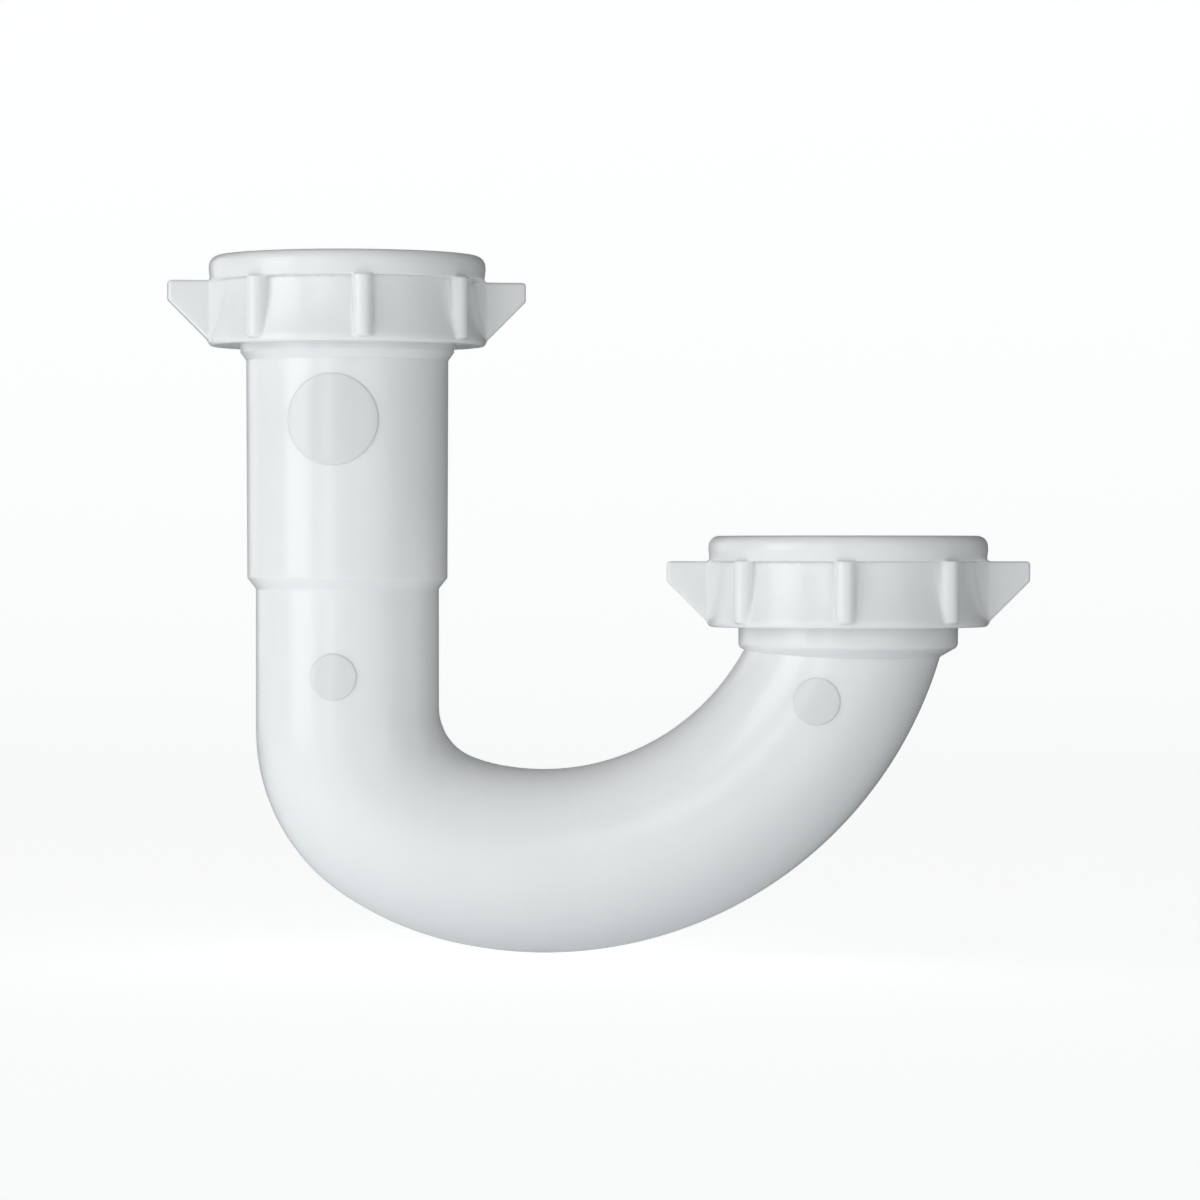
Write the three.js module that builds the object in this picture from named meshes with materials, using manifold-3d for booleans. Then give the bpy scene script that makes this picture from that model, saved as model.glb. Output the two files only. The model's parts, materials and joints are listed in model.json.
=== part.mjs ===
// A 1-1/2 in tubular P-trap bend with two wing slip nuts and the tapered washers inside them.
// Millimetres, +Z up. The origin is midway between the two mouths, level with the lowest point of the bend.
// The inlet is on the -X side, the outlet on the +X side.

import * as THREE from "three";
import { mergeVertices } from "three/addons/utils/BufferGeometryUtils.js";
import Module from "manifold-3d";

const wasm = await Module();
wasm.setup();

// ---------------------------------------------------------------- driving dimensions

const MOUTH_SPACING = 105.2; // between the inlet and outlet axes
const TUBE_RADIUS = 19.2; // outside of the tube
const BORE_RADIUS = 17.3; // waterway
const OVERRUN = 1; // how far a tool or a passage runs on past what it cuts or joins

// The centreline turns from straight down, at 0 degrees, to the end of the sweep inside the outlet collar.
const TURNS = [
  { radius: 22.2, until: 56.5 }, // the tight corner
  { radius: 50.2, until: 78 }, // easing out of it
  { radius: 67.4, until: 165 }, // the wide sweep
];

const SOCKET_RADIUS = 19.3; // takes a 38.1 mm tube
const MOUTH_RADIUS = 22.0; // the tapered seat of the washer, at the rim
const MOUTH_DEPTH = 5;

const INLET_RIM = 140.7;
const OUTLET_RIM = 82.0;
const INLET_SOCKET_FLOOR = 77.5;
const OUTLET_SOCKET_FLOOR = 64;

const SLEEVE_RADIUS = 21.1;
const SLEEVE_BOTTOM = 76.1;
const SLEEVE_BEVEL = 2.3;
const SHOULDER_BOTTOM = 123.7;
const SHOULDER_TOP = 126.7;
const STEP_SINK = 0.2; // bevels and shoulders start this far under the surface they rise from
const RIM_BEVEL = 0.5;
const COLLAR_TOP = 66.7;
const COLLAR_BOTTOM = 62.7;
const COLLAR_BEVEL = 1.8;

const PITCH = 25.4 / 11.5; // 11.5 threads to the inch, right hand
const THREAD_ROOT = 22.8; // on the bend
const THREAD_CREST = 24.15;
const NUT_ROOT = 24.5; // in the nut
const NUT_CREST = 23.15;
const RIDGE_BASE = 1.35; // thread ridge widths, at its root and at its crest
const RIDGE_CREST = 0.5;
const RIDGE_BURIED = 0.7; // how far the ridge runs on into the wall it stands on
const RUN_OUT_SINK = 0.1; // the faded end of a ridge dips this far under the wall
const BEND_TURNS = 6;
const NUT_TURNS = 4;
const FADE_TURNS = 1 / 6; // each thread end runs out over this much of a turn

const NUT_HEIGHT = 18.9;
const NUT_RING_HEIGHT = 5.3;
const NUT_RING_RADIUS = 29.05;
const NUT_RING_CORNER = 2.3;
const NUT_FOOT_RADIUS = 29.2;
const NUT_FOOT_BEVEL = 0.8;
const NUT_WAIST_RADIUS = 27.4;
const NUT_FLARE = 10.4; // the skirt widens from this height down to its foot
const NUT_RING_LIP = 0.4; // the ring narrows by this much at its underside
const NUT_FLANGE = 2.4; // thickness of the top over the washer
const NUT_OPENING = 19.7;
const NUT_TO_RIM = 13.7; // from the foot of a tight nut up to the rim
const WING_TIP = 37.7; // radius of a wing's tip
const WING_TIP_HEIGHT = 4.1;
const WING_SLOPE = 9; // the 45 degree edge falls and runs in by this much
const WING_THICKNESS = 4;
const WING_BEVEL = 0.8;
const GUSSET_OUT = 29; // the wing thickens from this radius in to the skirt
const GUSSET_HALF_WIDTH = 5.4;
const RIB_RADIUS = 2.1;
const RIB_CENTRE = 28.3;
const RIB_FOOT = 0.9;
const RIB_SPREAD = THREE.MathUtils.degToRad(47.5); // from the middle rib of each side to its neighbours
const GRIP_SINK = 0.4; // wings and gussets start this far under the skirt

const WASHER_RADIUS = 23.7;
const WASHER_BORE = 19.1;
const WASHER_THICKNESS = 2.6;
const WASHER_GAP = 0.1;
const PLUG_TOP_RADIUS = 21.7;
const PLUG_TIP_RADIUS = 19.85;
const PLUG_DEPTH = 3.5;

const PAD_RAISED = 0.3;
const LARGE_PAD_RADIUS = 9.5;
const SMALL_PAD_RADIUS = 4.85;
const SLEEVE_PAD_HEIGHT = 111.2;
const LEG_PAD_HEIGHT = 58;
const SWEEP_PAD_TURN = THREE.MathUtils.degToRad(150.4);

const ROUND_SEGMENTS = 28;
const RIB_SEGMENTS = 16;
const BEND_STEPS = 34;
const SLIVER = 0.005; // slits and slivers under this size are closed up

// ---------------------------------------------------------------- worked out from them

const INLET_X = -MOUTH_SPACING / 2;
const OUTLET_X = MOUTH_SPACING / 2;
const LEG_TOP = INLET_SOCKET_FLOOR + OVERRUN;
const ARCS = tangentArcs();
const SWEEP = ARCS[ARCS.length - 1];
const NUT_RING_BOTTOM = NUT_HEIGHT - NUT_RING_HEIGHT;
const BEND_THREAD_TOP = NUT_TO_RIM - 1; // heights above the foot of a tight nut
const NUT_THREAD_TOP = BEND_THREAD_TOP - PITCH / 2; // half a pitch apart, so that the ridges interlock
const INLET_CLOCKING = THREE.MathUtils.degToRad(15.4); // where the wings point, about +Z
const OUTLET_CLOCKING = THREE.MathUtils.degToRad(2);

// Each turn starts where the last one ends, with the same tangent. The bottom of the sweep rests on z = 0.
function tangentArcs() {
  const arcs = [];
  let centre = new THREE.Vector2(INLET_X + TURNS[0].radius, 0);
  let from = 0;
  TURNS.forEach(({ radius, until }, i) => {
    const before = i === 0 ? radius : TURNS[i - 1].radius;
    const inward = new THREE.Vector2(Math.cos(from), Math.sin(from));
    centre = centre.clone().addScaledVector(inward, radius - before);
    const to = THREE.MathUtils.degToRad(until);
    arcs.push({ centre, radius, from, to });
    from = to;
  });
  const sweep = arcs[arcs.length - 1];
  const lift = sweep.radius + TUBE_RADIUS - sweep.centre.y;
  arcs.forEach((arc) => (arc.centre.y += lift));
  return arcs;
}

function pointOnArc(arc, angle) {
  return [arc.centre.x - arc.radius * Math.cos(angle), arc.centre.y - arc.radius * Math.sin(angle)];
}

// ---------------------------------------------------------------- shapes and booleans

function solid(geometry) {
  const bare = geometry.clone();
  bare.deleteAttribute("normal");
  bare.deleteAttribute("uv");
  const merged = mergeVertices(bare, 1e-4);
  return new wasm.Manifold(
    new wasm.Mesh({
      numProp: 3,
      vertProperties: new Float32Array(merged.attributes.position.array),
      triVerts: new Uint32Array(merged.index.array),
    }),
  );
}

function geometryOf(manifold) {
  const { vertProperties, triVerts } = manifold.asOriginal().simplify(SLIVER).getMesh();
  const geometry = new THREE.BufferGeometry();
  geometry.setAttribute("position", new THREE.BufferAttribute(vertProperties, 3));
  geometry.setIndex(new THREE.BufferAttribute(triVerts, 1));
  geometry.computeVertexNormals();
  return geometry;
}

// A closed outline of [radius, height] points, anticlockwise, turned about the Z axis.
function revolve(outline) {
  const points = [...outline, outline[0]].map(([radius, height]) => new THREE.Vector2(radius, height));
  return new THREE.LatheGeometry(points, ROUND_SEGMENTS).rotateX(Math.PI / 2);
}

function arcPoints(centreX, centreY, radius, from, to, count) {
  return Array.from({ length: count + 1 }, (_, i) => {
    const angle = THREE.MathUtils.degToRad(from + ((to - from) * i) / count);
    return [centreX + radius * Math.cos(angle), centreY + radius * Math.sin(angle)];
  });
}

// A disc-shaped column through the front of the bend, used to outline a raised pad.
function padColumn(x, z, radius) {
  const reach = 2 * TUBE_RADIUS;
  return solid(new THREE.CylinderGeometry(radius, radius, reach, ROUND_SEGMENTS).translate(x, -reach / 2, z));
}

// A right-hand thread ridge: a straight bar wrapped round the axis, from the top down.
// It stands outward on its root when the crest is the larger radius, and inward when it is the smaller.
function threadRidge(rootRadius, crestRadius, turns, topZ) {
  const outward = Math.sign(crestRadius - rootRadius);
  const height = Math.abs(crestRadius - rootRadius);
  const bar = new THREE.Shape([
    new THREE.Vector2(-RIDGE_BURIED, -RIDGE_BASE / 2),
    new THREE.Vector2(0, -RIDGE_BASE / 2),
    new THREE.Vector2(height, -RIDGE_CREST / 2),
    new THREE.Vector2(height, RIDGE_CREST / 2),
    new THREE.Vector2(0, RIDGE_BASE / 2),
    new THREE.Vector2(-RIDGE_BURIED, RIDGE_BASE / 2),
  ]);
  const steps = turns * ROUND_SEGMENTS;
  const geometry = new THREE.ExtrudeGeometry(bar, { depth: turns, steps, bevelEnabled: false });
  const position = geometry.attributes.position;
  for (let i = 0; i < position.count; i += 1) {
    const turn = position.getZ(i);
    const full = Math.min(turn / FADE_TURNS, (turns - turn) / FADE_TURNS, 1);
    const proud = position.getX(i);
    const rise = proud < 0 ? proud : proud * full - RUN_OUT_SINK * (1 - full);
    const radius = rootRadius + outward * rise;
    const angle = -2 * Math.PI * turn;
    const z = topZ - PITCH * turn + outward * position.getY(i);
    position.setXYZ(i, radius * Math.cos(angle), radius * Math.sin(angle), z);
  }
  return geometry;
}

// ---------------------------------------------------------------- the trap bend

// The centreline runs straight down from the inlet socket and on round the arcs.
class BendCentreline extends THREE.Curve {
  getPoint(t, target = new THREE.Vector3()) {
    const straight = LEG_TOP - ARCS[0].centre.y;
    const lengths = ARCS.map((arc) => arc.radius * (arc.to - arc.from));
    let along = t * lengths.reduce((sum, length) => sum + length, straight);
    if (along < straight) {
      return target.set(INLET_X, 0, LEG_TOP - along);
    }
    along -= straight;
    let i = 0;
    while (i < ARCS.length - 1 && along > lengths[i]) {
      along -= lengths[i];
      i += 1;
    }
    const [x, z] = pointOnArc(ARCS[i], ARCS[i].from + along / ARCS[i].radius);
    return target.set(x, 0, z);
  }
}

function bendTube(radius) {
  const section = new THREE.Shape(
    Array.from({ length: ROUND_SEGMENTS }, (_, i) => {
      const angle = (2 * Math.PI * i) / ROUND_SEGMENTS;
      return new THREE.Vector2(radius * Math.cos(angle), radius * Math.sin(angle));
    }),
  );
  const options = { steps: BEND_STEPS, bevelEnabled: false, extrudePath: new BendCentreline() };
  return solid(new THREE.ExtrudeGeometry(section, options));
}

function mouthThread(x, rim, clocking) {
  const foot = rim - NUT_TO_RIM;
  const ridge = threadRidge(THREAD_ROOT, THREAD_CREST, BEND_TURNS, foot + BEND_THREAD_TOP);
  return solid(ridge.rotateZ(clocking).translate(x, 0, 0));
}

function mouthWall(x, rim, clocking, lowerOutline) {
  const rimOutline = [
    [THREAD_ROOT, rim - RIM_BEVEL],
    [THREAD_ROOT - RIM_BEVEL, rim],
    [0, rim],
  ];
  const wall = revolve([...lowerOutline, ...rimOutline]);
  return solid(wall.rotateZ(clocking).translate(x, 0, 0)).add(mouthThread(x, rim, clocking));
}

function inletSleeve() {
  const sleeve = revolve([
    [0, SLEEVE_BOTTOM],
    [TUBE_RADIUS - STEP_SINK, SLEEVE_BOTTOM],
    [SLEEVE_RADIUS, SLEEVE_BOTTOM + SLEEVE_BEVEL],
    [SLEEVE_RADIUS, SHOULDER_TOP],
    [0, SHOULDER_TOP],
  ]);
  const shoulder = [
    [0, SHOULDER_BOTTOM],
    [SLEEVE_RADIUS - STEP_SINK, SHOULDER_BOTTOM],
    [THREAD_ROOT, SHOULDER_TOP],
  ];
  return solid(sleeve.translate(INLET_X, 0, 0)).add(mouthWall(INLET_X, INLET_RIM, INLET_CLOCKING, shoulder));
}

function outletCollar() {
  const collar = [
    [0, COLLAR_BOTTOM],
    [THREAD_ROOT - COLLAR_BEVEL, COLLAR_BOTTOM],
    [THREAD_ROOT, COLLAR_BOTTOM + COLLAR_BEVEL],
    [THREAD_ROOT, COLLAR_TOP],
  ];
  return mouthWall(OUTLET_X, OUTLET_RIM, OUTLET_CLOCKING, collar);
}

function socketBore(x, rim, floor, clocking) {
  const bore = revolve([
    [0, floor],
    [SOCKET_RADIUS, floor],
    [SOCKET_RADIUS, rim - MOUTH_DEPTH],
    [MOUTH_RADIUS, rim],
    [MOUTH_RADIUS, rim + OVERRUN],
    [0, rim + OVERRUN],
  ]);
  return solid(bore.rotateZ(clocking).translate(x, 0, 0));
}

function raisedPads() {
  const raisedBand = (radius, height, padRadius) => {
    const bottom = height - padRadius - OVERRUN;
    const top = height + padRadius + OVERRUN;
    const outline = [
      [0, bottom],
      [radius + PAD_RAISED, bottom],
      [radius + PAD_RAISED, top],
      [0, top],
    ];
    return solid(revolve(outline).translate(INLET_X, 0, 0));
  };
  const [sweepPadX, sweepPadZ] = pointOnArc(SWEEP, SWEEP_PAD_TURN);
  const sleeveColumn = padColumn(INLET_X, SLEEVE_PAD_HEIGHT, LARGE_PAD_RADIUS);
  const legColumn = padColumn(INLET_X, LEG_PAD_HEIGHT, SMALL_PAD_RADIUS);
  const sweepColumn = padColumn(sweepPadX, sweepPadZ, SMALL_PAD_RADIUS);
  const onSleeve = raisedBand(SLEEVE_RADIUS, SLEEVE_PAD_HEIGHT, LARGE_PAD_RADIUS).intersect(sleeveColumn);
  const onLeg = raisedBand(TUBE_RADIUS, LEG_PAD_HEIGHT, SMALL_PAD_RADIUS).intersect(legColumn);
  const onSweep = bendTube(TUBE_RADIUS + PAD_RAISED).intersect(sweepColumn);
  return onSleeve.add(onLeg).add(onSweep);
}

function trapBend() {
  const outside = bendTube(TUBE_RADIUS).add(inletSleeve()).add(outletCollar()).add(raisedPads());
  const waterway = bendTube(BORE_RADIUS)
    .add(socketBore(INLET_X, INLET_RIM, INLET_SOCKET_FLOOR, INLET_CLOCKING))
    .add(socketBore(OUTLET_X, OUTLET_RIM, OUTLET_SOCKET_FLOOR, OUTLET_CLOCKING));
  return geometryOf(outside.subtract(waterway));
}

// ---------------------------------------------------------------- the slip nut

// The skirt's radius narrows along a parabola from the foot up to the waist.
function skirtPoints(count) {
  return Array.from({ length: count + 1 }, (_, i) => {
    const height = NUT_FOOT_BEVEL + ((NUT_FLARE - NUT_FOOT_BEVEL) * i) / count;
    const below = 1 - i / count;
    return [NUT_WAIST_RADIUS + (NUT_FOOT_RADIUS - NUT_WAIST_RADIUS) * below ** 2, height];
  });
}

function nutShell() {
  const cornerX = NUT_RING_RADIUS - NUT_RING_CORNER;
  const cornerZ = NUT_HEIGHT - NUT_RING_CORNER;
  const shell = revolve([
    [NUT_ROOT + NUT_FOOT_BEVEL, 0],
    [NUT_FOOT_RADIUS - NUT_FOOT_BEVEL, 0],
    ...skirtPoints(3),
    [NUT_WAIST_RADIUS, NUT_RING_BOTTOM],
    [NUT_RING_RADIUS - NUT_RING_LIP, NUT_RING_BOTTOM],
    ...arcPoints(cornerX, cornerZ, NUT_RING_CORNER, 0, 90, 4),
    [NUT_OPENING, NUT_HEIGHT],
    [NUT_OPENING, NUT_HEIGHT - NUT_FLANGE],
    [NUT_ROOT, NUT_HEIGHT - NUT_FLANGE],
    [NUT_ROOT, NUT_FOOT_BEVEL],
  ]);
  return solid(shell);
}

// The plate's outline is drawn inside its bevel, which grows it by the same amount all round.
function wingPlate() {
  const top = NUT_RING_BOTTOM - WING_BEVEL;
  const tip = WING_TIP - WING_BEVEL;
  const tipBottom = NUT_RING_BOTTOM - WING_TIP_HEIGHT + WING_BEVEL * (Math.SQRT2 - 1);
  const bottom = NUT_RING_BOTTOM - WING_TIP_HEIGHT - WING_SLOPE + WING_BEVEL;
  const root = NUT_WAIST_RADIUS - GRIP_SINK;
  const outline = new THREE.Shape([
    new THREE.Vector2(root, bottom),
    new THREE.Vector2(tip - (tipBottom - bottom), bottom),
    new THREE.Vector2(tip, tipBottom),
    new THREE.Vector2(tip, top),
    new THREE.Vector2(root, top),
  ]);
  const plate = new THREE.ExtrudeGeometry(outline, {
    depth: WING_THICKNESS - 2 * WING_BEVEL,
    bevelThickness: WING_BEVEL,
    bevelSize: WING_BEVEL,
    bevelSegments: 1,
  });
  return plate.translate(0, 0, -(WING_THICKNESS / 2 - WING_BEVEL)).rotateX(Math.PI / 2);
}

function wingGusset() {
  const halfTip = WING_THICKNESS / 2 - STEP_SINK;
  const skirtX = Math.sqrt(NUT_WAIST_RADIUS ** 2 - GUSSET_HALF_WIDTH ** 2) - GRIP_SINK;
  const footZ = NUT_FOOT_BEVEL + WING_BEVEL;
  const outline = new THREE.Shape([
    new THREE.Vector2(skirtX, -GUSSET_HALF_WIDTH),
    new THREE.Vector2(GUSSET_OUT, -halfTip),
    new THREE.Vector2(GUSSET_OUT, halfTip),
    new THREE.Vector2(skirtX, GUSSET_HALF_WIDTH),
  ]);
  const depth = NUT_RING_BOTTOM + STEP_SINK - footZ;
  return new THREE.ExtrudeGeometry(outline, { depth, bevelEnabled: false }).translate(0, 0, footZ);
}

function rib() {
  const height = NUT_RING_BOTTOM + STEP_SINK - RIB_FOOT;
  const bar = new THREE.CylinderGeometry(RIB_RADIUS, RIB_RADIUS, height, RIB_SEGMENTS).rotateX(Math.PI / 2);
  return bar.translate(RIB_CENTRE, 0, RIB_FOOT + height / 2);
}

function slipNut() {
  let nut = nutShell();
  for (const side of [0, Math.PI]) {
    nut = nut.add(solid(wingPlate().rotateZ(side))).add(solid(wingGusset().rotateZ(side)));
    for (const spread of [-RIB_SPREAD, 0, RIB_SPREAD]) {
      nut = nut.add(solid(rib().rotateZ(side + Math.PI / 2 + spread)));
    }
  }
  const thread = threadRidge(NUT_ROOT, NUT_CREST, NUT_TURNS, NUT_THREAD_TOP);
  return geometryOf(nut.add(solid(thread)));
}

// ---------------------------------------------------------------- the slip washer

function slipWasher() {
  const bottom = WASHER_GAP;
  const top = WASHER_GAP + WASHER_THICKNESS;
  const washer = revolve([
    [WASHER_BORE, -PLUG_DEPTH],
    [PLUG_TIP_RADIUS, -PLUG_DEPTH],
    [PLUG_TOP_RADIUS, bottom],
    [WASHER_RADIUS, bottom],
    [WASHER_RADIUS, top],
    [WASHER_BORE, top],
  ]);
  return geometryOf(solid(washer));
}

// ---------------------------------------------------------------- materials and assembly

function glossyPolypropylene() {
  return new THREE.MeshStandardMaterial({ color: 0xf2f2f1, roughness: 0.28, metalness: 0 });
}

function softPolyethylene() {
  return new THREE.MeshStandardMaterial({ color: 0xe4e6e4, roughness: 0.5, metalness: 0 });
}

function piece(name, geometry, material, x, z, clocking) {
  const mesh = new THREE.Mesh(geometry, material);
  mesh.name = name;
  mesh.position.set(x, 0, z);
  mesh.rotation.z = clocking;
  return mesh;
}

function slipJoint(end, x, rim, clocking) {
  const joint = new THREE.Group();
  joint.add(piece(`${end}_slip_nut`, slipNut(), glossyPolypropylene(), x, rim - NUT_TO_RIM, clocking));
  joint.add(piece(`${end}_slip_washer`, slipWasher(), softPolyethylene(), x, rim, clocking));
  return joint;
}

const trap = new THREE.Group();
trap.add(piece("trap_bend", trapBend(), glossyPolypropylene(), 0, 0, 0));
trap.add(slipJoint("inlet", INLET_X, INLET_RIM, INLET_CLOCKING));
trap.add(slipJoint("outlet", OUTLET_X, OUTLET_RIM, OUTLET_CLOCKING));

export default trap;
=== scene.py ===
"""The looks of a P-trap bend with its two wing slip nuts and their washers.

Everything stands in the row's own frame. Shapes are worked out in millimetres and scaled to metres once.
The bend is built from rings round its centreline. The nut is one rounded distance field, so that its
ribs, wings and ring flow into each other as they do on a moulding.
"""

import json
import math

import bpy
import numpy as np
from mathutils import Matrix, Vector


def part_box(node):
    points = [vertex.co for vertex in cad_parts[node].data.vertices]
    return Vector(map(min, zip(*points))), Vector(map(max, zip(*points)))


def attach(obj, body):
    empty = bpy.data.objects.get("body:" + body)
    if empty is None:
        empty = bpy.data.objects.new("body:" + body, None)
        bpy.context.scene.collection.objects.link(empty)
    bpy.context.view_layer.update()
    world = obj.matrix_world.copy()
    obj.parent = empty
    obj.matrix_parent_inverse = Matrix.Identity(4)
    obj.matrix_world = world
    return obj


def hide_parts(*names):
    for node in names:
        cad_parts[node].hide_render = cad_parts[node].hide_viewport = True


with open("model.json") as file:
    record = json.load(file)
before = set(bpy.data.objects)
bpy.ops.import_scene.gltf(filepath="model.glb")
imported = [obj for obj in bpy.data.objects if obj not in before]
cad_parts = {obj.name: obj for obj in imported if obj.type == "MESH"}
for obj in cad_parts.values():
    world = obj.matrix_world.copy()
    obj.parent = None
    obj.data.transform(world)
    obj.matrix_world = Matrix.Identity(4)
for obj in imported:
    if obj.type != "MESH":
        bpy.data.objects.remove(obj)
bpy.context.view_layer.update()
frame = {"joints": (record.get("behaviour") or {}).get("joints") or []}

import openvdb
from mathutils import Vector

# ---------------------------------------------------------------- places, read from the frame

MM = 0.001
JOINTS = {joint["name"]: joint for joint in frame["joints"]}


def in_mm(metres):
    return [value / MM for value in metres]


INLET_X, _, INLET_FOOT = in_mm(JOINTS["inlet_nut_turn"]["pos_m"])
OUTLET_X, _, OUTLET_FOOT = in_mm(JOINTS["outlet_nut_turn"]["pos_m"])
INLET_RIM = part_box("trap_bend")[1].z / MM
FOOT_TO_RIM = INLET_RIM - INLET_FOOT
OUTLET_RIM = OUTLET_FOOT + FOOT_TO_RIM
NUT_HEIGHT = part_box("inlet_slip_nut")[1].z / MM - INLET_FOOT

# ---------------------------------------------------------------- driving dimensions, in millimetres

TUBE_RADIUS = 19.2
BORE_RADIUS = 17.3
TURNS = ((22.2, 56.5), (50.2, 78), (67.4, 165))  # radius, and the turn in degrees where it ends
THROAT_RADIUS = 11.0  # the fillet inside the tight corner

SOCKET_RADIUS = 19.3
MOUTH_RADIUS = 22.0
MOUTH_DEPTH = 5
INLET_SOCKET_DEPTH = 63.2
OUTLET_SOCKET_DEPTH = 18

SLEEVE_TOP_RADIUS = 21.2
SLEEVE_FOOT_RADIUS = 21.0
SLEEVE_BOTTOM = 76.1
SLEEVE_BEVEL = 2.3
SHOULDER_BOTTOM = 124.0
NECK_BOTTOM = 125.7
NECK_TOP = 127.4
NECK_RADIUS = 22.4
COLLAR_BOTTOM = 61.9
COLLAR_EDGE = 64.2

PITCH = 25.4 / 11.5
THREAD_ROOT = 22.8
THREAD_CREST = 24.15
NUT_ROOT = 24.5
NUT_CREST = 23.15
RIDGE_BASE = 1.35
RIDGE_CREST = 0.5
BEND_TURNS = 6
NUT_TURNS = 4
FADE_TURNS = 1 / 6
THREAD_TOP = FOOT_TO_RIM - 1

RING_HEIGHT = 5.3
RING_RADIUS = 29.05
RING_BELLY = 2.4  # how far above its bottom the ring is widest
FOOT_RADIUS = 29.1
FOOT_HEIGHT = 1.5
WAIST_RADIUS = 27.1
WAIST_BOTTOM = 8.6
NUT_FLANGE = 2.4
NUT_OPENING = 19.7
NUT_THREAD_BOTTOM = 1.2
NUT_THREAD_BELOW_FLANGE = 2.6
WING_TIP = 37.7
WING_TIP_HEIGHT = 4.1
WING_SLOPE = 9.0
WING_THICKNESS = 4.0
WING_ROUNDING = 0.7
RIB_RADIUS = 2.1
RIB_CENTRE = 28.3
RIB_FOOT = 0.9
RIB_DIRECTIONS = (math.radians(42.5), math.radians(90))  # from a wing; other quarters mirror these
RIB_FOOT_ROUNDING = 0.8
RIB_TOP_ROUNDING = 0.3
GUSSET_OUT = 29.0
GUSSET_HALF_WIDTH = 5.4
FILLET = 0.6

WASHER_RADIUS = 23.7
WASHER_BORE = 19.1
WASHER_THICKNESS = 2.6
WASHER_GAP = 0.1
PLUG_TOP_RADIUS = 21.7
PLUG_TIP_RADIUS = 19.85
PLUG_DEPTH = 3.5

PAD_RAISED = 0.28
PAD_DEPTH = 1  # how far a pad is sunk in the wall
PAD_MIDDLE = 0.02  # the share of a pad's radius that its innermost ring has
PAD_FACE_RINGS = 9
PAD_RIM_RINGS = 4
LARGE_PAD_RADIUS = 9.5
SMALL_PAD_RADIUS = 4.85
SLEEVE_PAD_Z = 111.2
LEG_PAD_Z = 58.0
SWEEP_PAD_TURN = math.radians(150.4)

INLET_CLOCKING = math.radians(15.4)
OUTLET_CLOCKING = math.radians(2)

ROUND = 144  # points round each ring
LONG_STEP = 1.45  # spacing of rings along plain lengths
THREAD_STEP = 0.2
WASHER_STEP = 1.0
VOXEL = 0.4
EVENING_ROUNDS = 4
EVENING_SHARE = 0.6  # how much of the way to the middle of its neighbours a point slides
FIELD_STEP = 0.1  # spacing of the samples of the nut's outline field
FIELD_MARGIN = 3 * VOXEL
LEAST_STEEPNESS = 0.2  # keeps a step bounded where the field is almost flat
ARC_STEPS = 5
FINE_ARC_STEPS = 16
SHARP_DEGREES = 38
SAME_RADIUS = 1e-6

# ---------------------------------------------------------------- worked out from them

LEG_DIRECTION = -math.pi / 2  # a ring's lean: -90 degrees looks down the inlet, +90 up the outlet
OUTLET_DIRECTION = math.pi / 2


def tangent_arcs():
    """The centreline's arcs as (centre, radius, start, end), each tangent to the one before it."""
    arcs = []
    centre = np.array([INLET_X + TURNS[0][0], 0.0])
    start, before = 0.0, TURNS[0][0]
    for radius, end in TURNS:
        centre = centre + (radius - before) * np.array([math.cos(start), math.sin(start)])
        arcs.append((centre, radius, start, math.radians(end)))
        start, before = math.radians(end), radius
    lift = np.array([0.0, before + TUBE_RADIUS - centre[1]])
    return [(centre + lift, *rest) for centre, *rest in arcs]


def tangent_throat():
    """The centre of the fillet between the leg and the second arc's inside, and the turn where it ends."""
    centre, radius = ARCS[1][:2]
    across = centre[0] - (INLET_X + TUBE_RADIUS + THROAT_RADIUS)
    away = radius - TUBE_RADIUS - THROAT_RADIUS
    up = math.sqrt(away**2 - across**2)
    return centre - np.array([across, up]), math.atan2(up, across)


ARCS = tangent_arcs()
THROAT, THROAT_END = tangent_throat()
CORNER_TOP = ARCS[0][0][1]


# ---------------------------------------------------------------- outlines


def unit(vector):
    return vector / np.linalg.norm(vector)


def rounded(corners, steps=ARC_STEPS):
    """An outline through (radius, height, rounding) corners, with an arc at each rounded corner."""
    points = [np.array(corners[0][:2], float)]
    for before, corner, after in zip(corners, corners[1:], corners[2:]):
        here = np.array(corner[:2], float)
        if corner[2] == 0:
            points.append(here)
            continue
        back = unit(np.array(before[:2]) - here)
        onward = unit(np.array(after[:2]) - here)
        half = math.acos(np.clip(back @ onward, -1, 1)) / 2
        centre = here + unit(back + onward) * corner[2] / math.sin(half)
        start = here + back * corner[2] / math.tan(half) - centre
        end = here + onward * corner[2] / math.tan(half) - centre
        turn = math.pi - 2 * half
        for share in np.linspace(0, 1, steps + 1):
            mixed = math.sin((1 - share) * turn) * start + math.sin(share * turn) * end
            points.append(centre + mixed / math.sin(turn))
    points.append(np.array(corners[-1][:2], float))
    return points


def spaced(points, step):
    """The same outline with its long stretches cut into pieces of about one step."""
    result = [points[0]]
    for start, end in zip(points, points[1:]):
        pieces = max(1, round(float(np.linalg.norm(end - start)) / step))
        result += [start + (end - start) * i / pieces for i in range(1, pieces + 1)]
    return result


# ---------------------------------------------------------------- rings and meshes


def angles():
    return np.arange(ROUND) * 2 * math.pi / ROUND


def ring(centre_x, centre_z, lean, radius):
    """Points round the centreline; lean turns a ring from facing down (-90 degrees) to up (+90)."""
    across = radius * np.cos(angles())
    x = centre_x + across * math.sin(lean)
    y = radius * np.sin(angles())
    z = centre_z - across * math.cos(lean)
    return np.stack([x, y, z], axis=1)


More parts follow.
